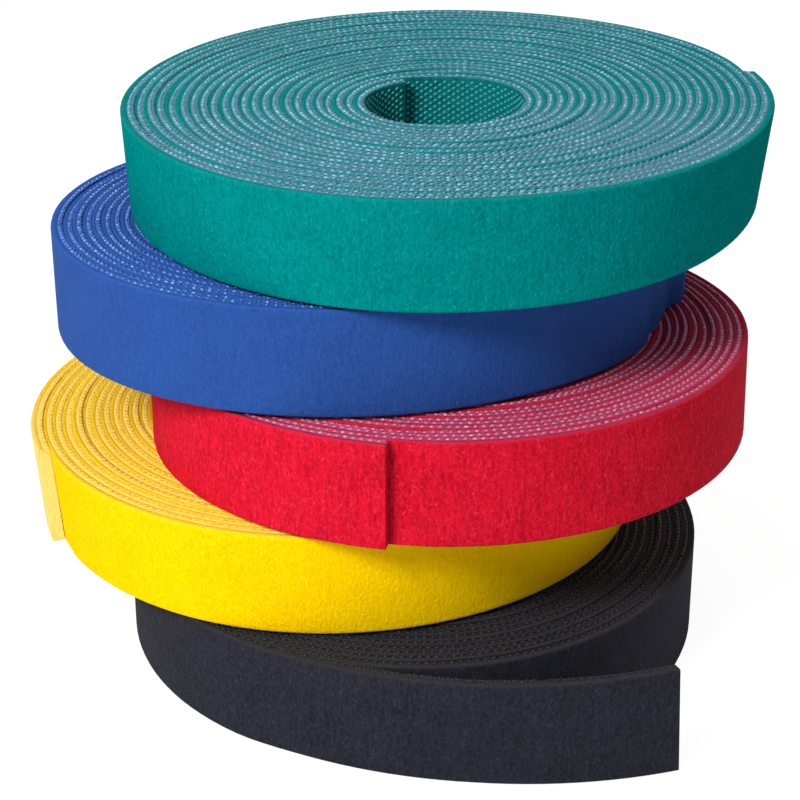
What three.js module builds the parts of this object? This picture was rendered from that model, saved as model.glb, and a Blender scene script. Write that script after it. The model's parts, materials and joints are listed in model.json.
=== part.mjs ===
// Five rolls of hook and loop tape in five colours, stacked flat and a little out of line.
// Lengths are in millimetres and angles in degrees. +Z is up, and the stack stands on Z = 0,
// with the middle of its outer box over the origin.

import * as THREE from "three";

// The tape: a web of loops and a web of hooks, bonded back to back.
const tapeWidth = 16;
const webThickness = 0.4;
const tapeThickness = 2 * webThickness;

// Every roll is wound round a bare bore, with no card core in it. The green roll is wound a little
// closer at its bore, which lies off the roll's middle, so its turns lie closer together in front.
const boreRadius = 13.9;
const greenBoreRadius = 12.5;
const greenBoreRight = -0.6;
const greenBoreBack = -5.2;

// Room between pieces that touch.
const clearance = 0.3;

// Pile and hooks pressed between one turn and the next, by how tightly each roll is wound.
const blackNap = 0.55;
const yellowNap = 0.65;
const redNap = 0.49;
const blueNap = 0.53;
const greenNap = 0.8;

// How far each roll lies to the right of the bottom one, and behind it.
const yellowRight = -11.7;
const yellowBack = 8.5;
const redRight = 5.4;
const redBack = -0.6;
const blueRight = -7.3;
const blueBack = 6.4;
const greenRight = 4.5;
const greenBack = 11;

// The free end of a closed roll, and the black one, which springs open by an angle at its root and
// hangs in stretches that bend.
const freeEndLength = 22;
const looseEndLength = 57.5;
const looseEndSpring = 5.1;
const looseEndBendRadius = 66.2;
const looseEndStretches = ["root", "middle", "tip"];

// How finely a turn and a free end are drawn. Turns step at the same azimuths, so they stay apart.
const fullTurn = 360;
const turnStep = 15;
const freeEndStep = 5;

// From the floor up. A roll has its whole winding, or its outer turns over a plain core of inner ones.
const rolls = [
  {
    name: "black",
    colour: 0x26282c,
    nap: blackNap,
    right: 0,
    back: 0,
    boreRadius,
    boreRight: 0,
    boreBack: 0,
    woundTurns: 22.97,
    drawnTurns: 6,
    rootAzimuth: -115,
    ovalShare: 0.035,
    ovalAzimuth: 89,
  },
  {
    name: "yellow",
    colour: 0xffe100,
    nap: yellowNap,
    right: yellowRight,
    back: yellowBack,
    boreRadius,
    boreRight: 0,
    boreBack: 0,
    woundTurns: 22.62,
    drawnTurns: 6,
    rootAzimuth: -183,
    ovalShare: 0.019,
    ovalAzimuth: 59,
  },
  {
    name: "red",
    colour: 0xdc1e37,
    nap: redNap,
    right: redRight,
    back: redBack,
    boreRadius,
    boreRight: 0,
    boreBack: 0,
    woundTurns: 22.87,
    drawnTurns: 6,
    rootAzimuth: -131,
    ovalShare: 0.027,
    ovalAzimuth: 22,
  },
  {
    name: "blue",
    colour: 0x2d5aaa,
    nap: blueNap,
    right: blueRight,
    back: blueBack,
    boreRadius,
    boreRight: 0,
    boreBack: 0,
    woundTurns: 22.62,
    drawnTurns: 6,
    rootAzimuth: -53,
    ovalShare: 0.064,
    ovalAzimuth: 24,
  },
  {
    name: "green",
    colour: 0x008c78,
    nap: greenNap,
    right: greenRight,
    back: greenBack,
    boreRadius: greenBoreRadius,
    boreRight: greenBoreRight,
    boreBack: greenBoreBack,
    woundTurns: 22.63,
    drawnTurns: 22.63,
    rootAzimuth: -14,
    ovalShare: 0.038,
    ovalAzimuth: 72,
  },
];

// A point of the tape's centre line, and the way out from the roll there.
function station(point, outward) {
  return { point, outward };
}

// The middle of the tape at an angle wound on from the roll's inner end. The turns go over from the
// bore's middle to the roll's.
function woundStation(roll, wound) {
  const innerShare = 1 - wound / (fullTurn * roll.woundTurns);
  const middle = new THREE.Vector2(roll.boreRight, roll.boreBack).multiplyScalar(innerShare);
  const azimuth = THREE.MathUtils.degToRad(roll.rootAzimuth - fullTurn * roll.woundTurns + wound);
  const ovalTurn = 2 * (azimuth - THREE.MathUtils.degToRad(roll.ovalAzimuth));
  const pitch = tapeThickness + roll.nap;
  const roundRadius = roll.boreRadius + tapeThickness / 2 + (pitch * wound) / fullTurn;
  const radius = roundRadius * (1 + roll.ovalShare * Math.cos(ovalTurn));
  const outward = new THREE.Vector2(Math.cos(azimuth), Math.sin(azimuth));
  return station(outward.clone().multiplyScalar(radius).add(middle), outward);
}

// The wound angle that a length of tape takes at the outside of the roll.
function angleOfLength(roll, length) {
  const radius = woundStation(roll, fullTurn * roll.woundTurns).point.length();
  return THREE.MathUtils.radToDeg(length / radius);
}

// Stations from one wound angle to another, with those between them whole steps from the root.
function woundStations(roll, first, last, step) {
  const root = fullTurn * roll.woundTurns;
  const angles = [first];
  const firstStep = Math.floor((first - root) / step) + 1;
  for (let count = firstStep; root + count * step < last; count++) {
    angles.push(root + count * step);
  }
  angles.push(last);
  return angles.map((wound) => woundStation(roll, wound));
}

// A strip standing on its edge along its stations, between two distances out from the centre line.
function stripGeometry(stations, inside, outside) {
  const corners = stations.flatMap(({ point, outward }) => {
    const near = point.clone().addScaledVector(outward, inside);
    const far = point.clone().addScaledVector(outward, outside);
    return [near.x, near.y, 0, far.x, far.y, 0, far.x, far.y, tapeWidth, near.x, near.y, tapeWidth];
  });
  const sides = 4;
  const faces = [0, 1, 2, 0, 2, 3];
  for (let step = 0; step + 1 < stations.length; step++) {
    for (let side = 0; side < sides; side++) {
      const a = sides * step + side;
      const b = sides * step + ((side + 1) % sides);
      faces.push(a, a + sides, b + sides, a, b + sides, b);
    }
  }
  const end = sides * (stations.length - 1);
  faces.push(end, end + 2, end + 1, end, end + 3, end + 2);
  const geometry = new THREE.BufferGeometry();
  geometry.setAttribute("position", new THREE.Float32BufferAttribute(corners, 3));
  geometry.setIndex(faces);
  geometry.computeVertexNormals();
  return geometry;
}

// The least distance from one turn's outer face to the inner face of the turn round it.
function leastTurnGap(stations) {
  const stepsPerTurn = fullTurn / turnStep;
  const shift = tapeThickness / 2;
  const inner = stations.map(({ point, outward }) => point.clone().addScaledVector(outward, -shift));
  const outer = stations.map(({ point, outward }) => point.clone().addScaledVector(outward, shift));
  let least = Infinity;
  outer.forEach((from, index) => {
    const first = index + Math.round(stepsPerTurn / 2);
    const last = Math.min(index + 2 * stepsPerTurn, inner.length - 1);
    for (let other = first; other < last; other++) {
      const edge = new THREE.Line3(
        new THREE.Vector3(inner[other].x, inner[other].y, 0),
        new THREE.Vector3(inner[other + 1].x, inner[other + 1].y, 0),
      );
      const at = new THREE.Vector3(from.x, from.y, 0);
      const nearest = edge.closestPointToPoint(at, true, new THREE.Vector3());
      least = Math.min(least, nearest.distanceTo(at));
    }
  });
  return least;
}

// The look of the tape in one colour, a little rougher on its looped side.
function tapeMaterial(roll, roughness) {
  return new THREE.MeshStandardMaterial({ color: roll.colour, roughness, metalness: 0 });
}

const loopRoughness = 0.95;
const hookRoughness = 0.7;

function namedMesh(name, geometry, material) {
  const mesh = new THREE.Mesh(geometry, material);
  mesh.name = name;
  return mesh;
}

// The wound angles at which a roll's drawn turns start and stop.
function drawnRange(roll) {
  const stop = fullTurn * roll.woundTurns;
  return { start: Math.max(0, stop - fullTurn * roll.drawnTurns), stop };
}

// The turns as one unbroken strip, stopping short of the free end.
function drawnTurns(roll) {
  const { start, stop } = drawnRange(roll);
  const room = angleOfLength(roll, clearance);
  const first = start > 0 ? start + room : start;
  const stations = woundStations(roll, first, stop - room / 2, turnStep);
  const name = start > 0 ? roll.name + "_outer_turns" : roll.name + "_turns";
  console.log(name + ": least gap to itself " + leastTurnGap(stations).toFixed(2) + " mm");
  const geometry = stripGeometry(stations, -tapeThickness / 2, tapeThickness / 2);
  return namedMesh(name, geometry, tapeMaterial(roll, loopRoughness));
}

// The inner turns as one plain ring. Its bore follows the innermost turn, and its outside the first
// drawn one.
function plainCore(roll) {
  const { start } = drawnRange(roll);
  const faceOf = (first, shift) => {
    const stations = woundStations(roll, first, first + fullTurn, turnStep);
    return stations.map(({ point, outward }) => point.clone().addScaledVector(outward, shift));
  };
  const shape = new THREE.Shape(faceOf(start, -tapeThickness / 2 - clearance));
  shape.holes.push(new THREE.Path(faceOf(0, -tapeThickness / 2)));
  const geometry = new THREE.ExtrudeGeometry(shape, { depth: tapeWidth, bevelEnabled: false });
  return namedMesh(roll.name + "_inner_turns", geometry, tapeMaterial(roll, loopRoughness));
}

// A free end in a group whose origin is its fold line, with a solid for each of its two webs.
function freeEnd(name, roll, stations) {
  const root = stations[0];
  const fold = root.point.clone().addScaledVector(root.outward, tapeThickness / 2);
  const local = stations.map(({ point, outward }) => station(point.clone().sub(fold), outward));
  const group = new THREE.Group();
  group.position.set(fold.x, fold.y, 0);
  group.add(
    namedMesh(
      name + "_loop_side",
      stripGeometry(local, 0, tapeThickness / 2),
      tapeMaterial(roll, loopRoughness),
    ),
    namedMesh(
      name + "_hook_side",
      stripGeometry(local, -tapeThickness / 2, 0),
      tapeMaterial(roll, hookRoughness),
    ),
  );
  return group;
}

// The end of a closed roll lies on it as the last part of its outer turn.
function closedEnd(roll) {
  const room = angleOfLength(roll, clearance);
  const root = fullTurn * roll.woundTurns;
  const stations = woundStations(
    roll,
    root + room / 2,
    root + angleOfLength(roll, freeEndLength),
    freeEndStep,
  );
  return [freeEnd(roll.name + "_free_end", roll, stations)];
}

// The black roll's end springs away along a wider bend, in stretches that fold where they meet.
function looseEnd(roll) {
  const root = woundStation(roll, fullTurn * roll.woundTurns);
  const spring = THREE.MathUtils.degToRad(looseEndSpring);
  const start = station(root.point, root.outward.clone().rotateAround(new THREE.Vector2(), -spring));
  const along = new THREE.Vector2(-start.outward.y, start.outward.x);
  const stretchLength = looseEndLength / looseEndStretches.length;
  const bendOf = (length) => length / looseEndBendRadius;
  const stationAt = (length) => {
    const outward = start.outward.clone().rotateAround(new THREE.Vector2(), bendOf(length));
    const point = start.point
      .clone()
      .addScaledVector(along, looseEndBendRadius * Math.sin(bendOf(length)))
      .addScaledVector(start.outward, looseEndBendRadius * (Math.cos(bendOf(length)) - 1));
    return station(point, outward);
  };
  return looseEndStretches.map((stretch, place) => {
    const first = stretchLength * place + clearance / 2;
    const last = stretchLength * (place + 1) - clearance / 2;
    const steps = Math.ceil(THREE.MathUtils.radToDeg(bendOf(last - first)) / freeEndStep);
    const stations = [];
    for (let step = 0; step <= steps; step++) {
      stations.push(stationAt(THREE.MathUtils.lerp(first, last, step / steps)));
    }
    return freeEnd(roll.name + "_loose_end_" + stretch, roll, stations);
  });
}

// One roll, on the level where it lies in the stack.
function tapeRoll(roll, level) {
  const group = new THREE.Group();
  group.position.set(roll.right, roll.back, level * (tapeWidth + clearance));
  if (drawnRange(roll).start > 0) group.add(plainCore(roll));
  group.add(drawnTurns(roll));
  group.add(...(roll.name === "black" ? looseEnd(roll) : closedEnd(roll)));
  return group;
}

const stack = new THREE.Group();
rolls.forEach((roll, level) => stack.add(tapeRoll(roll, level)));

// The stack's box is centred over the origin.
const middle = new THREE.Box3().setFromObject(stack, true).getCenter(new THREE.Vector3());
stack.position.set(-middle.x, -middle.y, 0);

const part = new THREE.Group();
part.add(stack);

export default part;
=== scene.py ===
# %% [markdown]
# # A stack of hook and loop tape rolls
#
# Five rolls of tape lie on each other, in black, yellow, red, blue and green. Such tape is two webs
# bonded back to back: one carries a brushed pile of loops and faces out, the other carries rows of
# small hooks and faces the roll's axis. Nothing else holds a roll together.
#
# The solids that this scene loads already say where each roll lies and how its free end peels open.
# This file gives them their cloth: the wound tape with its pile, the thread along its woven edges,
# and the hooks.

# %% Load the measured model
import json
import math
from bisect import bisect_left

import bmesh
import bpy
from mathutils import Euler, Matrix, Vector, noise


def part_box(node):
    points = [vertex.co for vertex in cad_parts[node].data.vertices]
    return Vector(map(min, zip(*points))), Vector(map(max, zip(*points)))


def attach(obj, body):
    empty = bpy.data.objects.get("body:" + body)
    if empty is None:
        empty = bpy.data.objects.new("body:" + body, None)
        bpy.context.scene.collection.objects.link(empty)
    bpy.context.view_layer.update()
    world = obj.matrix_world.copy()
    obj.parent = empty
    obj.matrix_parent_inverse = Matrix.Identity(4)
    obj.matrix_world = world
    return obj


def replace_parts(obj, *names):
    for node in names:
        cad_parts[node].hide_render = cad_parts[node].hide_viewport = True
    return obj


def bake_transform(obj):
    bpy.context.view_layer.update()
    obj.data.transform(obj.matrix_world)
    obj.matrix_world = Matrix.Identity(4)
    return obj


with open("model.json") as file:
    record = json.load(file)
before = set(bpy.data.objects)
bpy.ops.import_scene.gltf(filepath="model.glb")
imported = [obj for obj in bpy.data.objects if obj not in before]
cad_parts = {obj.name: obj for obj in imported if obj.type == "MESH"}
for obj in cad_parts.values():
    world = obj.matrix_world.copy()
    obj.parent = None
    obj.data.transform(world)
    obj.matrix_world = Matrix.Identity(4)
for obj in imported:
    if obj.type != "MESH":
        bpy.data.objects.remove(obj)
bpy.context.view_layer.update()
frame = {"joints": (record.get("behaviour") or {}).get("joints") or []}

MM = 0.001

# %% [markdown]
# ## The camera and the light
#
# A photograph's perspective fixes where it was taken from. Here five stacked circles of nearly one
# size were matched to the picture, which gives a camera about 30 cm away, 24 degrees above the
# horizon, with a long lens. The light is one wide soft lamp from the left, with the world's own light
# filling the shadows, so that the rolls' right sides fall off into shade as real cloth does.

# %% Camera
camera_aim = Vector((0.84, -15.06, 40)) * MM
camera_distance = 315.6 * MM
camera_elevation = math.radians(24.13)
camera_lens = 95.9
camera_sensor = 36

back = Vector((0, -math.cos(camera_elevation), math.sin(camera_elevation)))
camera_data = bpy.data.cameras.new("camera")
camera_data.lens = camera_lens
camera_data.sensor_width = camera_sensor
camera_data.clip_start = 10 * MM
camera = bpy.data.objects.new("camera", camera_data)
camera.location = camera_aim + back * camera_distance
camera.rotation_euler = (-back).to_track_quat("-Z", "Y").to_euler()
bpy.context.scene.collection.objects.link(camera)
bpy.context.scene.camera = camera
print("The camera stands at", [round(place / MM) for place in camera.location], "mm")


# %% Lamps
def soft_lamp(name, place, size, power):
    """A square lamp that faces the middle of the stack."""
    data = bpy.data.lights.new(name, "AREA")
    data.size = size
    data.energy = power
    lamp = bpy.data.objects.new(name, data)
    lamp.location = place
    lamp.rotation_euler = (camera_aim - place).to_track_quat("-Z", "Y").to_euler()
    bpy.context.scene.collection.objects.link(lamp)
    return lamp


lamps = [
    soft_lamp("key_lamp", Vector((-291, -406, 443)) * MM, 180 * MM, 4.0),
    soft_lamp("top_lamp", Vector((60, 60, 640)) * MM, 420 * MM, 1.0),
]
print("The lamps give", [lamp.data.energy for lamp in lamps], "watts")

# %% World and view
world_light = 0.25

scene = bpy.context.scene
scene.view_settings.view_transform = "Standard"
world = bpy.data.worlds.new("white room")
scene.world = world
world.use_nodes = True
links, nodes = world.node_tree.links, world.node_tree.nodes
nodes.clear()
path_node = nodes.new("ShaderNodeLightPath")
plain = nodes.new("ShaderNodeBackground")
plain.inputs["Color"].default_value = (world_light, world_light, world_light, 1)
white = nodes.new("ShaderNodeBackground")
white.inputs["Color"].default_value = (1, 1, 1, 1)
seen = nodes.new("ShaderNodeMath")
seen.operation = "MAXIMUM"
either = nodes.new("ShaderNodeMath")
either.operation = "MAXIMUM"
mixed = nodes.new("ShaderNodeMixShader")
out = nodes.new("ShaderNodeOutputWorld")
links.new(path_node.outputs["Is Camera Ray"], seen.inputs[0])
links.new(path_node.outputs["Is Glossy Ray"], seen.inputs[1])
links.new(seen.outputs[0], either.inputs[0])
links.new(path_node.outputs["Is Transmission Ray"], either.inputs[1])
links.new(either.outputs[0], mixed.inputs["Fac"])
links.new(plain.outputs[0], mixed.inputs[1])
links.new(white.outputs[0], mixed.inputs[2])
links.new(mixed.outputs[0], out.inputs["Surface"])
print("The world lights at", world_light, "and shows white")

# %% [markdown]
# ## The floor
#
# The floor has to show white and still keep the stack's shadow. A diffuse surface alone would turn
# grey away from the lamps, and an emitting one would lose the shadow, so camera rays see a mix of
# both.

# %% Floor
floor_side = 4000 * MM
floor_whitening = 0.8
floor_glow = 1.16

mesh = bmesh.new()
bmesh.ops.create_grid(mesh, x_segments=1, y_segments=1, size=floor_side / 2)
floor_data = bpy.data.meshes.new("floor")
mesh.to_mesh(floor_data)
mesh.free()
floor = bpy.data.objects.new("floor", floor_data)
bpy.context.scene.collection.objects.link(floor)

paper = bpy.data.materials.new("white paper floor")
paper.use_nodes = True
links, nodes = paper.node_tree.links, paper.node_tree.nodes
nodes.clear()
path_node = nodes.new("ShaderNodeLightPath")
diffuse = nodes.new("ShaderNodeBsdfDiffuse")
diffuse.inputs["Color"].default_value = (0.9, 0.9, 0.9, 1)
glow = nodes.new("ShaderNodeEmission")
glow.inputs["Color"].default_value = (1, 1, 1, 1)
glow.inputs["Strength"].default_value = floor_glow
share = nodes.new("ShaderNodeMath")
share.operation = "MULTIPLY"
share.inputs[1].default_value = floor_whitening
mixed = nodes.new("ShaderNodeMixShader")
out = nodes.new("ShaderNodeOutputMaterial")
links.new(path_node.outputs["Is Camera Ray"], share.inputs[0])
links.new(share.outputs[0], mixed.inputs["Fac"])
links.new(diffuse.outputs[0], mixed.inputs[1])
links.new(glow.outputs[0], mixed.inputs[2])
links.new(mixed.outputs[0], out.inputs["Surface"])
floor_data.materials.append(paper)
print("The floor is", round(floor_side / MM), "mm wide")

# %% [markdown]
# ## What is known of each roll
#
# A roll is a spiral. Its inner end starts at the bore, and every turn lies one tape thickness and one
# squeezed pile further out. These values are the ones that the solids were made with. The width of
# the tape, the level that each roll lies on and its axis come from the solids themselves: the hinge
# of each free end stands on the roll's outer face, at the root of that end.

# %% Sizes of the tape
full_turn = 360
tape_width = (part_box("green_turns")[1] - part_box("green_turns")[0]).z
web_pair = 0.8 * MM
free_end_length = 22 * MM
loose_end_length = 57.5 * MM
loose_end_spring = math.radians(5.1)
loose_end_bend_radius = 66.2 * MM
# The tape starts to spring away a little before the end's root, and is straight again after it.
spring_room = 6 * MM

# The outermost turn has nothing round it, so its pile stands up by this much more.
pile_rise = 0.35 * MM
# The pile is pressed this far into the hooks of the turn round it.
pile_press = 0.04 * MM
# Turns don't lie quite level: they slip along the axis by up to this much.
slip = 0.3 * MM
# Nor do they lie evenly: a turn strays in or out by up to about half of this.
stray = 0.4 * MM

# The bore is its radius, and how far its middle lies to the right of the roll's and behind it. The
# outermost turn may have a fold: how high it is, at which azimuth, and how far it runs on from there.
rolls = {
    "black": dict(
        bore=(13.9, 0, 0), nap=0.55, turns=22.97, root=-115, oval_share=0.035, oval_azimuth=89,
    ),
    "yellow": dict(
        bore=(13.9, 0, 0), nap=0.65, turns=22.62, root=-183, oval_share=0.019, oval_azimuth=59,
    ),
    "red": dict(
        bore=(13.9, 0, 0), nap=0.49, turns=22.87, root=-131, oval_share=0.027, oval_azimuth=22,
    ),
    "blue": dict(
        bore=(13.9, 0, 0), nap=0.53, turns=22.62, root=-53, oval_share=0.064, oval_azimuth=24,
        fold=(3 * MM, 0, 40),
    ),
    "green": dict(
        bore=(12.5, -0.6, -5.2), nap=0.8, turns=22.63, root=-14, oval_share=0.038, oval_azimuth=72,
    ),
}

# A roll spreads at its top, because its turns lean out more and more. The last turn leans by so much
# all round, and by so much more towards some azimuths. Its foot moves in more than its top moves out.
flare = {
    "black": (0, ()),
    "yellow": (0.7 * MM, ((0.8 * MM, -150),)),
    "red": (0, ((-0.8 * MM, 30),)),
    "blue": (0.1 * MM, ()),
    "green": (0.2 * MM, ((1.8 * MM, -25), (1.1 * MM, -140))),
}
foot_share = 0.65

# How far the cut end of a closed roll stands off at its foot and at its top edge. Two ends are pressed
# in instead.
stand_off = {
    "yellow": (0.2 * MM, 0.05 * MM),
    "red": (0.3 * MM, 0.3 * MM),
    "blue": (-0.3 * MM, -0.3 * MM),
    "green": (-0.3 * MM, -0.3 * MM),
}
# The outer half of the black roll's loose end leans more and more towards the roll at its top edge.
loose_end_lean = 1.5 * MM


def joint_place(name):
    """Where a hinge stands, in metres."""
    return Vector(next(joint["pos_m"] for joint in frame["joints"] if joint["name"] == name))


def spiral_point(roll, wound):
    """The middle of the tape at an angle wound on from the roll's inner end, and the way out there."""
    azimuth = math.radians(roll["root"] - full_turn * roll["turns"] + wound)
    outward = Vector((math.cos(azimuth), math.sin(azimuth), 0))
    radius, right, behind = roll["bore"]
    middle = Vector((right, behind, 0)) * MM * (1 - wound / (full_turn * roll["turns"]))
    oval = 1 + roll["oval_share"] * math.cos(2 * (azimuth - math.radians(roll["oval_azimuth"])))
    distance = (radius * MM + web_pair / 2 + roll["pitch"] * wound / full_turn) * oval
    return middle + outward * distance, outward


for name, roll in rolls.items():
    roll["name"] = name
    roll["stop"] = full_turn * roll["turns"]
    roll["pitch"] = web_pair + roll["nap"] * MM
    hinge = joint_place("black_end_root_bend" if name == "black" else name + "_end_peel")
    root, outward = spiral_point(roll, roll["stop"])
    roll["axis"] = hinge - root - outward * web_pair / 2
    roll["axis"].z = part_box("green_turns" if name == "green" else name + "_inner_turns")[0].z
    print(name, "roll's axis at", [round(place / MM, 2) for place in roll["axis"]], "mm")

# %% [markdown]
# ## The way that the tape is wound
#
# Tape is woven flat and wound afterwards, and the easiest way to model it is the same. Each piece is
# first made straight, along X, as long as the real tape. A Curve modifier then bends it along the
# roll's spiral. The pattern of the weave is laid out on the straight tape, so it stays even all the
# way in, and two pieces of one tape that meet end to end still meet when they are wound.

# %% The route of a roll's tape
route_step = 3


def level_slip(roll, wound):
    """How far the tape has slipped up the axis, which changes slowly along it and from turn to turn."""
    azimuth = math.radians(wound)
    place = Vector((math.cos(azimuth), math.sin(azimuth), 0.9 * wound / full_turn + roll["turns"]))
    return slip * min(1, max(0, 0.5 + 1.1 * noise.noise(place)))


def strayed(roll, wound):
    """How far a turn strays from the even spiral. The innermost and outermost ones stay on it."""
    room = min(1, wound / full_turn, (roll["stop"] - full_turn - wound) / (2 * full_turn))
    azimuth = math.radians(wound)
    place = Vector((math.cos(azimuth), math.sin(azimuth), 0.8 * wound / full_turn + 3 * roll["turns"]))
    return stray * max(0, room) * noise.noise(place)


def folded(roll, wound):
    """How far the outermost turn stands off at its fold, whose near side is one route step long."""
    height, azimuth, run = roll.get("fold", (0, 0, 1))
    past = roll["root"] + wound - roll["stop"] + full_turn - azimuth
    return height * max(0, 1 + past / route_step if past < 0 else 1 - past / run)


def spread(roll, wound, outward):
    """How far the flare moves the tape's foot and its top out there."""
    lean, lobes = flare[roll["name"]]
    for more, towards in lobes:
        aside = math.radians(towards)
        lean += more * max(0, outward.x * math.cos(aside) + outward.y * math.sin(aside)) ** 4
    lean *= min(1, wound / roll["stop"])
    return -foot_share * lean, (1 - foot_share) * lean


def leaning(roll, wound, point, outward, foot, top):
    """A route point and its tilt, moved out by one distance at the foot and another at the top."""
    up = Vector((0, 0, level_slip(roll, min(wound, roll["stop"]))))
    return point + outward * foot + up, math.atan2(top - foot, tape_width)


def wound_route(roll, stop):
    """Points and tilts of the tape's route along the spiral."""
    points = []
    for step in range(math.ceil(stop / route_step) + 1):
        wound = min(step * route_step, stop)
        place, outward = spiral_point(roll, wound)
        out = strayed(roll, wound) + folded(roll, wound)
        foot, top = spread(roll, wound, outward)
        points.append(leaning(roll, wound, place, outward, out + foot, out + top))
    return points


def closed_end_route(roll):
    """The closed end goes on along the spiral, and its cut end may stand off a little."""
    foot_off, top_off = stand_off[roll["name"]]
    reach = math.degrees(free_end_length / spiral_point(roll, roll["stop"])[0].length)
    points = []
    steps = math.ceil(reach / route_step)
    for step in range(1, steps + 1):
        rise = (step / steps) ** 3
        wound = roll["stop"] + reach * step / steps
        place, outward = spiral_point(roll, wound)
        foot, top = spread(roll, wound, outward)
        foot += foot_off * rise
        top += top_off * rise
        points.append(leaning(roll, wound, place, outward, foot, top))
    return points


def loose_end_route(roll, start):
    """The loose end springs away from the roll, and hangs along a wider bend."""
    place, outward = spiral_point(roll, start)
    root_azimuth = math.radians(roll["root"])
    steps = round((spring_room + loose_end_length) / MM)
    step = (spring_room + loose_end_length) / steps
    points = []
    for count in range(steps):
        length = (count + 0.5) * step - spring_room
        sprung = min(1, (length + spring_room) / (2 * spring_room)) * loose_end_spring
        bend = length / (loose_end_bend_radius if length > 0 else place.length)
        azimuth = root_azimuth + bend - sprung
        outward = Vector((math.cos(azimuth), math.sin(azimuth), 0))
        place = place + Vector((-outward.y, outward.x, 0)) * step
        lean = loose_end_lean / 2 * max(0, 2 * length / loose_end_length - 1)
        points.append(leaning(roll, roll["stop"], place, outward, lean, -lean))
    return points


def lay_route(roll):
    """Makes the roll's route as a curve, and notes the lengths at which its parts start."""
    stop = roll["stop"]
    if roll["name"] == "black":
        stop -= math.degrees(spring_room / spiral_point(roll, stop)[0].length)
        rest = loose_end_route(roll, stop)
    else:
        rest = closed_end_route(roll)
    wound = wound_route(roll, stop)
    stations = wound + rest
    data = bpy.data.curves.new(roll["name"] + "_route", "CURVE")
    data.dimensions = "3D"
    data.twist_mode = "Z_UP"
    spline = data.splines.new("POLY")
    spline.points.add(len(stations) - 1)
    lengths = [0]
    for (before, _), (after, _) in zip(stations, stations[1:]):
        lengths.append(lengths[-1] + (after - before).length)
    for point, (place, tilt) in zip(spline.points, stations):
        point.co = (*(place + roll["axis"]), 1)
        point.tilt = tilt
    curve = bpy.data.objects.new(roll["name"] + "_route", data)
    bpy.context.scene.collection.objects.link(curve)
    roll["route"] = curve
    roll["wound_lengths"] = lengths[:len(wound)]
    roll["tape_length"] = lengths[-1]
    roll["root_length"] = lengths[len(wound) - 1]
    if roll["name"] == "black":
        roll["root_length"] = lengths[-1] - loose_end_length
    last_turn = next(i for i in range(len(wound)) if i * route_step > roll["stop"] - full_turn)
    covered = 0 if roll["name"] == "black" else free_end_length
    roll["bare_from"] = lengths[last_turn] + covered
    roll["first_turn"] = lengths[full_turn // route_step]


def wound_angle(roll, length):
    """The angle that this length of tape winds on from the roll's inner end."""
    lengths = roll["wound_lengths"]
    after = min(max(1, bisect_left(lengths, length)), len(lengths) - 1)
    share = (length - lengths[after - 1]) / (lengths[after] - lengths[after - 1])
    return min(roll["stop"], (after - 1 + share) * route_step)


for roll in rolls.values():
    lay_route(roll)
    print(roll["name"], "tape is", round(roll["tape_length"], 2), "m long")

# %% [markdown]
# ## From straight to wound
#
# These helpers make a mesh from a bmesh, bend it along a roll's route, and leave a finished mesh with
# no modifier on it. A Curve modifier carries X along the route and keeps Z up; Y then points to the
# roll's axis, so everything here measures outward as minus Y.


# %% Helpers
def mesh_object(name, mesh, materials):
    """A new object that takes over the bmesh."""
    data = bpy.data.meshes.new(name)
    mesh.to_mesh(data)
    mesh.free()
    for material in materials:
        data.materials.append(material)
    made = bpy.data.objects.new(name, data)
    bpy.context.scene.collection.objects.link(made)
    return made


def finished_mesh(piece):
    """The piece's mesh with all its modifiers applied."""
    depsgraph = bpy.context.evaluated_depsgraph_get()
    result = bpy.data.meshes.new_from_object(piece.evaluated_get(depsgraph))
    old = piece.data
    piece.modifiers.clear()
    piece.data = result
    result.name = piece.name
    bpy.data.meshes.remove(old)
    return piece


def wind(piece, roll):
    """Bends a straight piece along the roll's route."""
    bend = piece.modifiers.new("wind", "CURVE")
    bend.object = roll["route"]
    bend.deform_axis = "POS_X"
    return finished_mesh(piece)


def repeat(piece, count, offset):
    """Repeats the piece a number of times, each copy one offset on."""
    array = piece.modifiers.new("repeat", "ARRAY")
    array.count = count
    array.use_relative_offset = False
    array.use_constant_offset = True
    array.constant_offset_displace = offset
    return piece


def join_into(piece, other):
    """Adds the other object's mesh to the piece, and removes the other."""
    mesh = bmesh.new()
    mesh.from_mesh(piece.data)
    mesh.from_mesh(other.data)
    mesh.to_mesh(piece.data)
    mesh.free()
    bpy.data.objects.remove(other)
    return piece


# %% [markdown]
# ## Colour and cloth
#
# Nylon tape has three looks. The pile is a mat of fine brushed loops: it scatters light, shows soft
# upright streaks where the brush went, and single loops catch the light as curly specks. The woven
# edge shows the weft turning back as a row of bright beads. The hook side is a tight weave. Each look
# is a node group here, built once, and every roll's material feeds it its own colours.


# %% Colour helpers
def paint(red, green, blue):
    """A screen colour, from 0 to 255, as the linear colour that a shader takes."""

    def linear(value):
        value /= 255
        return value / 12.92 if value <= 0.04045 else ((value + 0.055) / 1.055) ** 2.4

    return (linear(red), linear(green), linear(blue), 1)


def new_group(name, colours, numbers, outputs):
    """A shader group with colour and number inputs, and its own input and output nodes."""
    group = bpy.data.node_groups.new(name, "ShaderNodeTree")
    for label in colours:
        group.interface.new_socket(label, in_out="INPUT", socket_type="NodeSocketColor")
    for label, value in numbers.items():
        socket = group.interface.new_socket(label, in_out="INPUT", socket_type="NodeSocketFloat")
        socket.default_value = value
    for label in outputs:
        kind = "NodeSocketColor" if label == "Color" else "NodeSocketFloat"
        group.interface.new_socket(label, in_out="OUTPUT", socket_type=kind)
    given = group.nodes.new("NodeGroupInput")
    result = group.nodes.new("NodeGroupOutput")
    return group, given, result


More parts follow.
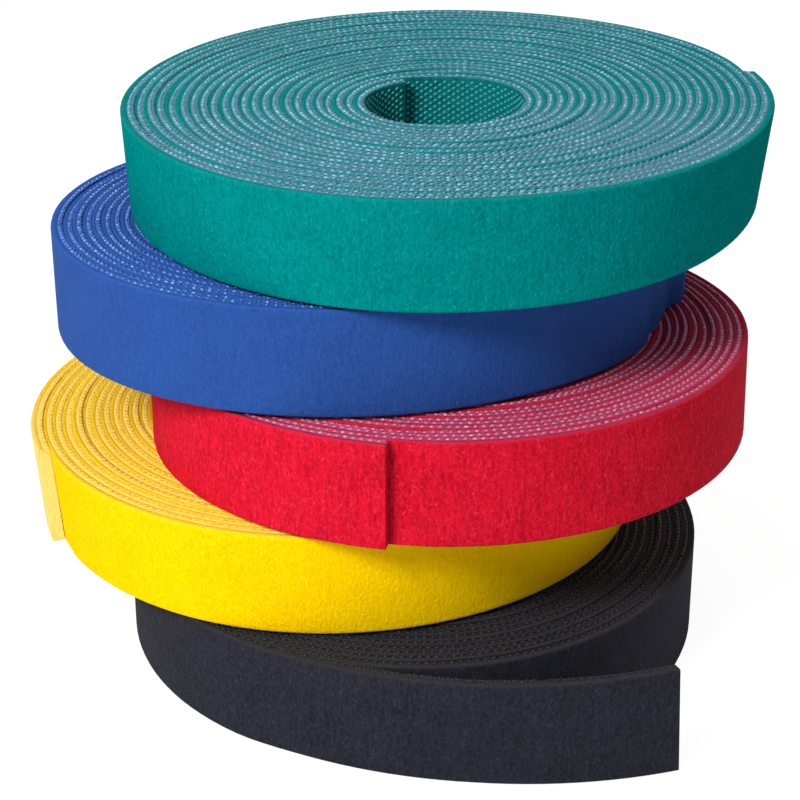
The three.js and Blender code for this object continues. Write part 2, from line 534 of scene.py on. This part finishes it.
def number_node(tree, operation, first, second=None, third=None):
    """A math node. Each input is a socket or a number."""
    made = tree.nodes.new("ShaderNodeMath")
    made.operation = operation
    for place, value in enumerate((first, second, third)):
        if value is None:
            continue
        if isinstance(value, (int, float)):
            made.inputs[place].default_value = value
        else:
            tree.links.new(value, made.inputs[place])
    return made.outputs[0]


def blend_colours(tree, share, first, second):
    """A colour that goes from the first to the second as the share goes from 0 to 1."""
    made = tree.nodes.new("ShaderNodeMix")
    made.data_type = "RGBA"
    made.clamp_factor = True
    # This node's inputs 6 and 7 and its output 2 are the ones for colours.
    for socket, value in ((made.inputs[0], share), (made.inputs[6], first), (made.inputs[7], second)):
        if isinstance(value, (int, float, tuple)):
            socket.default_value = value
        else:
            tree.links.new(value, socket)
    return made.outputs[2]


def stepped(tree, value, low, high):
    """A value eased from 0 at the low end to 1 at the high end."""
    made = tree.nodes.new("ShaderNodeMapRange")
    made.interpolation_type = "SMOOTHSTEP"
    made.inputs["From Min"].default_value = low
    made.inputs["From Max"].default_value = high
    tree.links.new(value, made.inputs["Value"])
    return made.outputs["Result"]


def grain(tree, coordinates, size, stretch=(1, 1, 1), detail=2.0, kind="FBM", distortion=0.0):
    """Noise with features of a real size, stretched along the axes."""
    mapping = tree.nodes.new("ShaderNodeMapping")
    mapping.inputs["Scale"].default_value = [1 / (size * share) for share in stretch]
    made = tree.nodes.new("ShaderNodeTexNoise")
    made.noise_type = kind
    made.inputs["Scale"].default_value = 1
    made.inputs["Detail"].default_value = detail
    made.inputs["Distortion"].default_value = distortion
    tree.links.new(coordinates, mapping.inputs["Vector"])
    tree.links.new(mapping.outputs["Vector"], made.inputs["Vector"])
    return made.outputs["Fac"]


# %% The brushed pile
# How far from the tape's cut end the pile starts to turn paler, and how far from it the pile is palest.
paling_start = 24 * MM
paling_full = 14 * MM
# The rims, as places across the pattern: each goes from plain pile to a painted highlight of lit fibres
# along the edge.
bottom_lit_rim = (-0.6 * MM, -0.25 * MM)
top_lit_rim = (15.15 * MM, 15.32 * MM)


def brushed_pile_group():
    """A mat of brushed loops: hollows, upright streaks, lit curls, painted highlights on the rims, and
    a paler end.
    """
    group, given, result = new_group(
        "brushed pile",
        ("Pile", "Loop light", "Hollow", "Lit rim", "Near end"),
        {"Streaks": 0.5, "Specks": 0.5, "Lit rim share": 0.4, "Tape end": 4.4, "Near end share": 0.0},
        ("Color", "Height"),
    )
    place = group.nodes.new("ShaderNodeTexCoord").outputs["Object"]
    pattern = group.nodes.new("ShaderNodeUVMap")
    pattern.uv_map = "tape"
    split = group.nodes.new("ShaderNodeSeparateXYZ")
    group.links.new(pattern.outputs["UV"], split.inputs["Vector"])
    tufts = grain(group, place, 0.42 * MM, (1, 1, 1.5), 3, distortion=0.5)
    streaks = grain(group, place, 0.5 * MM, (1, 1, 6), 2)
    curls = grain(group, place, 0.62 * MM, (1, 1, 1.6), 1.5, distortion=1.2)
    patches = grain(group, place, 9 * MM, (1, 1, 0.7), 2)
    # Patches that make the rims' painted highlight of lit fibres stronger in places.
    rim_patches = stepped(group, grain(group, place, 1.5 * MM, detail=3), 0.25, 0.65)

    ridge = number_node(group, "ABSOLUTE", number_node(group, "SUBTRACT", curls, 0.5))
    curl = number_node(group, "SUBTRACT", 1, stepped(group, ridge, 0.0, 0.045))
    lit = number_node(group, "MULTIPLY", curl, stepped(group, tufts, 0.42, 0.68))
    lit = number_node(group, "MULTIPLY", lit, given.outputs["Specks"])
    hollow = number_node(group, "SUBTRACT", 1, stepped(group, tufts, 0.3, 0.58))
    groove = number_node(group, "SUBTRACT", 1, stepped(group, streaks, 0.32, 0.62))
    groove = number_node(group, "MULTIPLY", groove, given.outputs["Streaks"])
    shade = number_node(group, "ADD", number_node(group, "MULTIPLY", hollow, 0.5), groove)
    shade = number_node(
        group, "ADD", shade, number_node(group, "MULTIPLY", stepped(group, patches, 0.3, 0.7), 0.2)
    )
    # The pattern's second coordinate is below zero at the bottom rim, and largest at the top one.
    rise = split.outputs["Y"]
    # Both rims are painted lighter: a painted highlight of lit fibres along the edges, in patches.
    low_lit_rim = number_node(group, "SUBTRACT", 1, stepped(group, rise, *bottom_lit_rim))
    lit_rim = number_node(group, "ADD", low_lit_rim, stepped(group, rise, *top_lit_rim))
    lit_rim = number_node(group, "MULTIPLY", lit_rim, number_node(group, "MULTIPLY_ADD", rim_patches, 0.4, 0.6))
    lit_rim = number_node(group, "MULTIPLY", lit_rim, given.outputs["Lit rim share"])
    # Near its cut end the pile turns paler, by the share given for the roll.
    to_end = number_node(group, "SUBTRACT", split.outputs["X"], given.outputs["Tape end"])
    near_end = stepped(group, to_end, -paling_start, -paling_full)
    paling = number_node(group, "MULTIPLY", near_end, given.outputs["Near end share"])

    colour = blend_colours(group, shade, given.outputs["Pile"], given.outputs["Hollow"])
    colour = blend_colours(group, lit, colour, given.outputs["Loop light"])
    colour = blend_colours(group, paling, colour, given.outputs["Near end"])
    colour = blend_colours(group, lit_rim, colour, given.outputs["Lit rim"])
    height = number_node(group, "ADD", tufts, number_node(group, "MULTIPLY", streaks, 0.4))
    height = number_node(group, "ADD", height, number_node(group, "MULTIPLY", curl, 0.25))
    group.links.new(colour, result.inputs["Color"])
    group.links.new(height, result.inputs["Height"])
    return group


# %% The woven web
weft_pitch = 1.2 * MM
warp_pitch = 0.42 * MM


def woven_web_group():
    """A tight weave of warp and weft, a little frayed."""
    group, given, result = new_group("woven web", ("Thread", "Gap"), {}, ("Color", "Height"))
    along = group.nodes.new("ShaderNodeUVMap")
    along.uv_map = "tape"
    split = group.nodes.new("ShaderNodeSeparateXYZ")
    group.links.new(along.outputs["UV"], split.inputs["Vector"])
    turn = number_node(group, "MULTIPLY", split.outputs["X"], 2 * math.pi / (weft_pitch / 2))
    rise = number_node(group, "MULTIPLY", split.outputs["Y"], 2 * math.pi / warp_pitch)
    warp, weft = number_node(group, "SINE", turn), number_node(group, "SINE", rise)
    over = number_node(group, "MULTIPLY", warp, weft)
    over = number_node(group, "ADD", number_node(group, "MULTIPLY", over, 0.5), 0.5)
    place = group.nodes.new("ShaderNodeTexCoord").outputs["Object"]
    fray = grain(group, place, 0.3 * MM, detail=3)
    pulls = grain(group, place, 0.9 * MM, detail=2)
    height = number_node(group, "ADD", over, number_node(group, "MULTIPLY", fray, 0.6))
    shade = stepped(group, number_node(group, "MULTIPLY_ADD", pulls, 1.2, height), 0.9, 1.7)
    group.links.new(
        blend_colours(group, shade, given.outputs["Gap"], given.outputs["Thread"]),
        result.inputs["Color"],
    )
    group.links.new(height, result.inputs["Height"])
    return group


# %% The beads of thread
def edge_thread_group():
    """Thread that is bright in some places and dull in others, with fine fibres."""
    group, given, result = new_group(
        "edge thread", ("Bright", "Dull"), {"Bright share": 0.5}, ("Color", "Height")
    )
    place = group.nodes.new("ShaderNodeTexCoord").outputs["Object"]
    beads = grain(group, place, 1.1 * MM, detail=1)
    fibres = grain(group, place, 0.12 * MM, detail=2)
    paling = grain(group, place, 14 * MM, detail=2)
    light = number_node(group, "ADD", beads, number_node(group, "MULTIPLY", paling, 0.7))
    light = number_node(group, "ADD", light, given.outputs["Bright share"])
    light = stepped(group, number_node(group, "SUBTRACT", light, 0.85), 0.25, 0.7)
    group.links.new(
        blend_colours(group, light, given.outputs["Dull"], given.outputs["Bright"]),
        result.inputs["Color"],
    )
    group.links.new(fibres, result.inputs["Height"])
    return group


pile_group = brushed_pile_group()
web_group = woven_web_group()
thread_group = edge_thread_group()
print("Looks:", [group.name for group in (pile_group, web_group, thread_group)])


# %% A material around a group
def cloth_material(name, group, values, bump, depth, gloss):
    """A cloth shader whose colour and bump come from a group. Plain values sit on its own sockets."""
    material = bpy.data.materials.new(name)
    material.use_nodes = True
    tree = material.node_tree
    shader = tree.nodes["Principled BSDF"]
    for label, value in gloss.items():
        shader.inputs[label].default_value = value
    look = tree.nodes.new("ShaderNodeGroup")
    look.node_tree = group
    for label, value in values.items():
        look.inputs[label].default_value = value
    raised = tree.nodes.new("ShaderNodeBump")
    raised.inputs["Strength"].default_value = bump
    raised.inputs["Distance"].default_value = depth
    tree.links.new(look.outputs["Color"], shader.inputs["Base Color"])
    tree.links.new(look.outputs["Height"], raised.inputs["Height"])
    tree.links.new(raised.outputs["Normal"], shader.inputs["Normal"])
    return material


# Colours given: pile, its lit loops, its hollows, the painted highlight of lit fibres on its rims
# and the paler colour near its cut end; bright and dull edge thread; the web and its gaps; the hooks
# and the web behind them. Then come shares and strengths, of which weave is how deep the web's pattern
# looks.
palette = {
    "black": dict(
        pile=(38, 38, 49), light=(80, 82, 94), hollow=(20, 20, 28), lit_rim=(56, 53, 55), paling=(60, 60, 66),
        bright=(84, 82, 84), dull=(42, 41, 45), web=(36, 35, 39), gap=(22, 22, 26),
        hooks=(56, 56, 62), back=(24, 24, 28),
        streaks=0.3, specks=0.35, lit_rim_share=0.6, end_paling=0.0, bright_share=0.1, shine=0.15, gloss=0.2,
        weave=0.6,
    ),
    "yellow": dict(
        pile=(255, 212, 0), light=(255, 228, 70), hollow=(250, 193, 0), lit_rim=(252, 208, 60),
        paling=(255, 226, 150), bright=(255, 214, 110), dull=(255, 210, 84), web=(255, 214, 84),
        gap=(255, 208, 72), hooks=(248, 205, 90), back=(225, 165, 25),
        streaks=0.2, specks=0.3, lit_rim_share=0.6, end_paling=0.7, bright_share=0.4, shine=0.0, gloss=0.3,
        weave=0.15,
    ),
    "red": dict(
        pile=(218, 16, 46), light=(240, 70, 95), hollow=(178, 4, 32), lit_rim=(186, 50, 82),
        paling=(220, 60, 90), bright=(236, 186, 212), dull=(212, 108, 146), web=(194, 84, 122),
        gap=(130, 30, 55), hooks=(200, 60, 90), back=(120, 15, 40),
        streaks=0.5, specks=0.6, lit_rim_share=0.7, end_paling=0.0, bright_share=0.25, shine=0.1, gloss=0.4,
        weave=0.6,
    ),
    "blue": dict(
        pile=(38, 79, 152), light=(62, 104, 178), hollow=(30, 66, 136), lit_rim=(46, 88, 168),
        paling=(70, 110, 190), bright=(140, 176, 232), dull=(50, 92, 170), web=(44, 86, 162),
        gap=(38, 78, 152), hooks=(56, 98, 178), back=(28, 56, 128),
        streaks=0.2, specks=0.2, lit_rim_share=0.7, end_paling=0.0, bright_share=0.45, shine=0.15, gloss=0.3,
        weave=0.3,
    ),
    "green": dict(
        pile=(0, 132, 130), light=(24, 166, 164), hollow=(0, 108, 106), lit_rim=(60, 136, 146),
        paling=(60, 160, 160), bright=(122, 182, 200), dull=(40, 116, 136), web=(20, 104, 122),
        gap=(4, 80, 94), hooks=(60, 166, 162), back=(0, 124, 122),
        streaks=0.3, specks=0.6, lit_rim_share=0.12, end_paling=0.0, bright_share=0.4, shine=0.0, gloss=1.0,
        weave=0.6,
    ),
}

finishes = {}
for name, colours in palette.items():
    matt = {
        "Roughness": 0.95,
        "Specular IOR Level": colours["shine"],
        "Sheen Weight": 0.08,
        "Sheen Roughness": 0.5,
        "Sheen Tint": paint(*colours["light"]),
    }
    # Thread shines most across its length, which runs round the roll.
    silky = {
        "Roughness": 0.42,
        "IOR": 1.5 + 0.12 * colours["gloss"],
        "Specular IOR Level": colours["gloss"],
        "Specular Tint": (0.6, 0.85, 1, 1),
        "Anisotropic": 0.9,
    }
    plastic = {"Roughness": 0.6, "Specular IOR Level": 0.1}
    pile = cloth_material(
        name + " brushed pile",
        pile_group,
        {
            "Pile": paint(*colours["pile"]),
            "Loop light": paint(*colours["light"]),
            "Hollow": paint(*colours["hollow"]),
            "Lit rim": paint(*colours["lit_rim"]),
            "Near end": paint(*colours["paling"]),
            "Streaks": colours["streaks"],
            "Specks": colours["specks"],
            "Lit rim share": colours["lit_rim_share"],
            "Tape end": rolls[name]["tape_length"],
            "Near end share": colours["end_paling"],
        },
        0.6, 0.25 * MM, matt,
    )
    weave = {"Thread": paint(*colours["web"]), "Gap": paint(*colours["gap"])}
    web = cloth_material(name + " woven web", web_group, weave, colours["weave"], 0.12 * MM, silky)
    weave = {"Thread": paint(*colours["back"]), "Gap": paint(*colours["gap"])}
    back = cloth_material(name + " hook side", web_group, weave, 0.6, 0.12 * MM, plastic)
    beads = {
        "Bright": paint(*colours["bright"]),
        "Dull": paint(*colours["dull"]),
        "Bright share": colours["bright_share"],
    }
    thread = cloth_material(name + " edge thread", thread_group, beads, 0.3, 0.05 * MM, silky)
    beads = {"Bright": paint(*colours["hooks"]), "Dull": paint(*colours["back"]), "Bright share": 1.2}
    hook = cloth_material(name + " hooks", thread_group, beads, 0.2, 0.05 * MM, plastic)
    finishes[name] = dict(pile=pile, web=web, back=back, thread=thread, hook=hook)
print(len(bpy.data.materials), "materials")

# %% [markdown]
# ## The tape
#
# Cut across, the tape shows a stiff web and the pile on it, which bulges over the web's edge with a
# groove between the two. Two such sections are bridged along X, and the bridge is cut into short
# lengths. An extrusion would give the same shape, but it makes its faces in an order that changes from
# run to run. Where the tape is still under the next turn its pile is pressed flat, so the outer side of
# the straight tape is moved in there before it is wound.

# %% The section of the tape
pile_foot = -0.25 * MM
edge_room = 0.06 * MM
tape_step = 2.4 * MM
web_chamfer = 0.06 * MM
groove_depth = 0.1 * MM
# The pile's corner is at least this round, and rounder where the pile stands up.
least_rounding = 0.04 * MM
# The pile starts to stand up where it comes out from under the next turn, and is up after this run.
rise_run = 4 * MM


def tape_section(roll, rise):
    """The section, round from the middle of the hook side over the top: where it is out and up.

    The pile's face stands out by the rise. Without one it is pressed flat against the next turn.
    """
    web_face = web_pair / 2 - roll["pitch"] - pile_press
    pile_face = web_pair / 2 + rise
    top = tape_width - slip - edge_room
    rounding = least_rounding + 0.5 * rise
    roll["web_face"] = web_face
    roll["edge_top"] = top
    half = [
        (web_face, top - 0.5 * MM),
        (web_face, top - web_chamfer),
        (web_face + web_chamfer, top),
        (pile_foot - 0.05 * MM, top),
        (pile_foot + 0.02 * MM, top - groove_depth),
        (pile_foot + 0.1 * MM, top),
        (pile_face - rounding, top + 0.05 * MM),
        (pile_face - 0.3 * rounding, top - 0.3 * rounding),
        (pile_face, top - 1.2 * rounding),
        (pile_face, top - 3 * rounding),
    ]
    return half + [(out, top + edge_room - up) for out, up in reversed(half)]


def straight_tape(name, roll, start, end):
    """A stretch of tape along X, with its pattern's coordinates on it."""
    mesh = bmesh.new()
    flat = tape_section(roll, 0)
    # The far section starts close by, where a bridge can't twist, and is then moved to the end.
    for along in (start, start + tape_step):
        far = [mesh.verts.new((along, -out, up)) for out, up in flat]
        mesh.faces.new(far)
    bmesh.ops.bridge_loops(mesh, edges=list(mesh.edges))
    bmesh.ops.translate(mesh, verts=far, vec=(end - start - tape_step, 0, 0))
    bmesh.ops.recalc_face_normals(mesh, faces=mesh.faces)
    pattern = mesh.loops.layers.uv.new("tape")
    for face in mesh.faces:
        face.smooth = abs(face.normal.x) < 0.5
        if not face.smooth:
            for edge in face.edges:
                edge.smooth = False
        out = -face.calc_center_median().y
        face.material_index = 0 if out > pile_foot else 1 if out > roll["web_face"] + MM / 100 else 2
        for loop in face.loops:
            loop[pattern].uv = (loop.vert.co.x, loop.vert.co.y + loop.vert.co.z)
    long_edges = [edge for edge in mesh.edges if abs(edge.verts[0].co.x - edge.verts[1].co.x) > MM / 10]
    cuts = max(1, round((end - start) / tape_step)) - 1
    if cuts:
        bmesh.ops.subdivide_edges(mesh, edges=long_edges, cuts=cuts, use_grid_fill=True)
    fill_to_next_turn(mesh, roll, flat)
    looks = finishes[roll["name"]]
    return mesh_object(name, mesh, [looks["pile"], looks["web"], looks["back"]])


def fill_to_next_turn(mesh, roll, flat):
    """Moves the pile's face to the turn round it, or raises it where no turn lies round it."""
    raised = tape_section(roll, pile_rise)
    corner = {(round(out / MM, 2), round(up / MM, 2)): place for place, (out, up) in enumerate(flat)}
    room = {}
    for vert in mesh.verts:
        along = round(vert.co.x / MM, 3)
        if along not in room:
            wound = wound_angle(roll, vert.co.x)
            bare = min(1, max(0, (vert.co.x - roll["bare_from"]) / rise_run))
            room[along] = bare, strayed(roll, wound + full_turn) - strayed(roll, wound)
        bare, stretch = room[along]
        out, up = flat[corner[round(-vert.co.y / MM, 2), round(vert.co.z / MM, 2)]]
        bare_out, bare_up = raised[corner[round(out / MM, 2), round(up / MM, 2)]]
        share = max(0, (out - pile_foot) / (web_pair / 2 - pile_foot))
        vert.co.y = -(out + (bare_out - out) * bare + stretch * share)
        vert.co.z = up + (bare_up - up) * bare


# %% [markdown]
# ## The woven edge
#
# Along both edges the weft turns back round the last warp threads, one small bead every 1.2 mm, on
# each of the two webs. A row runs the whole way and has about 3600 of them, so a bead is only an
# icosphere of 20 faces. One bead or a pair is made, and an Array modifier repeats it before the row is
# wound. A Displace modifier then pulls the beads out of line a little. The loop web's beads are bright.
# The hook web's are dull, and the bottom edge, which is hardly seen, goes without them.

# %% Edge thread
# How long, wide and high a bead is. The yellow ones lie flat and run into one another, and the blue
# ones are small.
usual_bead = (0.86 * MM, 0.6 * MM, 0.4 * MM)
beads_of = {
    "yellow": (1.3 * MM, 0.6 * MM, 0.24 * MM),
    "blue": (0.62 * MM, 0.46 * MM, 0.4 * MM),
}
dull_bead = (0.9 * MM, 0.34 * MM)
bead_lean = math.radians(14)
bottom_row_level = 0.3 * MM
row_inset = 0.05 * MM
thread_pull = 0.3 * MM
faces_of_a_bead = 20

pull_pattern = bpy.data.textures.new("pulled thread", "CLOUDS")
pull_pattern.noise_scale = 0.8 * MM
pull_pattern.cloud_type = "COLOR"


def edge_thread(name, roll, start, end, side):
    """Rows of beads on one edge of a stretch of tape: one on each web, half a step apart."""
    up = roll["edge_top"] if side == "top" else bottom_row_level
    length, width, height = beads_of.get(roll["name"], usual_bead)
    rows = [(0.25, length, width, pile_foot - row_inset - width / 2)]
    if side == "top":
        rows.append((0.75, *dull_bead, roll["web_face"] + dull_bead[1] / 2))
    mesh = bmesh.new()
    for share, length, width, out in rows:
        bead = bmesh.ops.create_icosphere(mesh, subdivisions=1, radius=0.5)["verts"]
        bmesh.ops.scale(mesh, verts=bead, vec=(length, width, height))
        lean = Euler((0, 0, bead_lean)).to_matrix()
        bmesh.ops.rotate(mesh, verts=bead, matrix=lean)
        bmesh.ops.translate(mesh, verts=bead, vec=(start + weft_pitch * share, -out, up))
    pattern = mesh.loops.layers.uv.new("tape")
    for place, face in enumerate(mesh.faces):
        # Flat beads keep their facets, because smoothed ones would look dark at their feet.
        face.smooth = height == usual_bead[2]
        face.material_index = 0 if place < faces_of_a_bead else 1
        for loop in face.loops:
            loop[pattern].uv = (loop.vert.co.x, loop.vert.co.y + loop.vert.co.z)
    row = mesh_object(name, mesh, [finishes[roll["name"]]["thread"], finishes[roll["name"]]["web"]])
    repeat(row, int((end - start) / weft_pitch), (weft_pitch, 0, 0))
    pull = row.modifiers.new("pull", "DISPLACE")
    pull.texture = pull_pattern
    pull.direction = "RGB_TO_XYZ"
    pull.strength = thread_pull
    return row


# %% [markdown]
# ## The hooks
#
# The hook side shows fine slanting rows, because each column of hooks stands half a step higher than
# the last. Each hook is a tiny bead. Two of them, side by side, make one step of the pattern, and two
# Array modifiers fill the web.

# %% Hooks
hook_column = 0.83 * MM
hook_row = 0.96 * MM
hook_size = (0.8 * MM, 0.44 * MM, 0.5 * MM)
hook_lean = math.radians(28)
first_hook_row = 0.8 * MM
# The hooks of the bore start just behind the tape's inner end, and go on a little past one turn.
first_hook = 0.4 * MM
past_one_turn = 4 * MM


def hook_rows_on(name, roll, start, end):
    """Rows of hooks on the inner face of a stretch of tape."""
    mesh = bmesh.new()
    for across, up in ((0.5, 0), (1.5, hook_row / 2)):
        hook = bmesh.ops.create_icosphere(mesh, subdivisions=1, radius=0.5)["verts"]
        bmesh.ops.scale(mesh, verts=hook, vec=hook_size)
        lean = Euler((0, hook_lean, 0)).to_matrix()
        bmesh.ops.rotate(mesh, verts=hook, matrix=lean)
        place = (start + across * hook_column, -roll["web_face"], first_hook_row + up)
        bmesh.ops.translate(mesh, verts=hook, vec=place)
    for face in mesh.faces:
        face.smooth = True
    rows = mesh_object(name, mesh, [finishes[roll["name"]]["hook"]])
    repeat(rows, int((end - start) / (2 * hook_column)), (2 * hook_column, 0, 0))
    return repeat(rows, int((roll["edge_top"] - 1 * MM) / hook_row), (0, 0, hook_row))


# %% Wind the rolls
def wound_turns(roll):
    """All the turns of one roll, with the thread on both edges and the hooks in its bore."""
    name, body = roll["name"], roll["name"] + "_roll"
    tape = wind(straight_tape(name + "_wound_tape", roll, 0, roll["root_length"]), roll)
    nodes_here = ["green_turns"] if name == "green" else [name + "_inner_turns", name + "_outer_turns"]
    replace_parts(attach(tape, body), *nodes_here)
    for side in ("top", "bottom"):
        row = edge_thread(f"{name}_{side}_edge_thread", roll, 0, roll["root_length"], side)
        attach(wind(row, roll), body)
    stop = roll["first_turn"] + past_one_turn
    hooks = hook_rows_on(name + "_bore_hooks", roll, first_hook, stop)
    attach(wind(hooks, roll), body)


def free_stretch(roll, name, start, end, cad_name):
    """One stretch of a free end. It bends smoothly where its hinge stands."""
    tape = wind(straight_tape(name + "_tape", roll, start, end), roll)
    for side in ("top", "bottom"):
        join_thread(tape, wind(edge_thread(name + "_thread", roll, start, end, side), roll))
    hooks = wind(hook_rows_on(name + "_hooks", roll, start, end), roll)
    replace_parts(tape, cad_name + "_loop_side")
    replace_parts(hooks, cad_name + "_hook_side")
    for piece in (tape, hooks):
        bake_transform(piece)


def join_thread(tape, thread):
    """Joins rows of beads to a tape, the bright ones as its last finish."""
    for face in thread.data.polygons:
        face.material_index = 3 if face.material_index == 0 else 1
    if len(tape.data.materials) == 3:
        tape.data.materials.append(thread.data.materials[0])
    join_into(tape, thread)


for roll in rolls.values():
    wound_turns(roll)
    name, root = roll["name"], roll["root_length"]
    if name == "black":
        stretch = (roll["tape_length"] - root) / 3
        for place, part in enumerate(("root", "middle", "tip")):
            free_stretch(
                roll, "black_loose_end_" + part,
                root + stretch * place, root + stretch * (place + 1),
                "black_loose_end_" + part,
            )
    else:
        free_stretch(
            roll, name + "_free_end", root, roll["tape_length"],
            name + "_free_end",
        )

for roll in rolls.values():
    bpy.data.objects.remove(roll["route"])
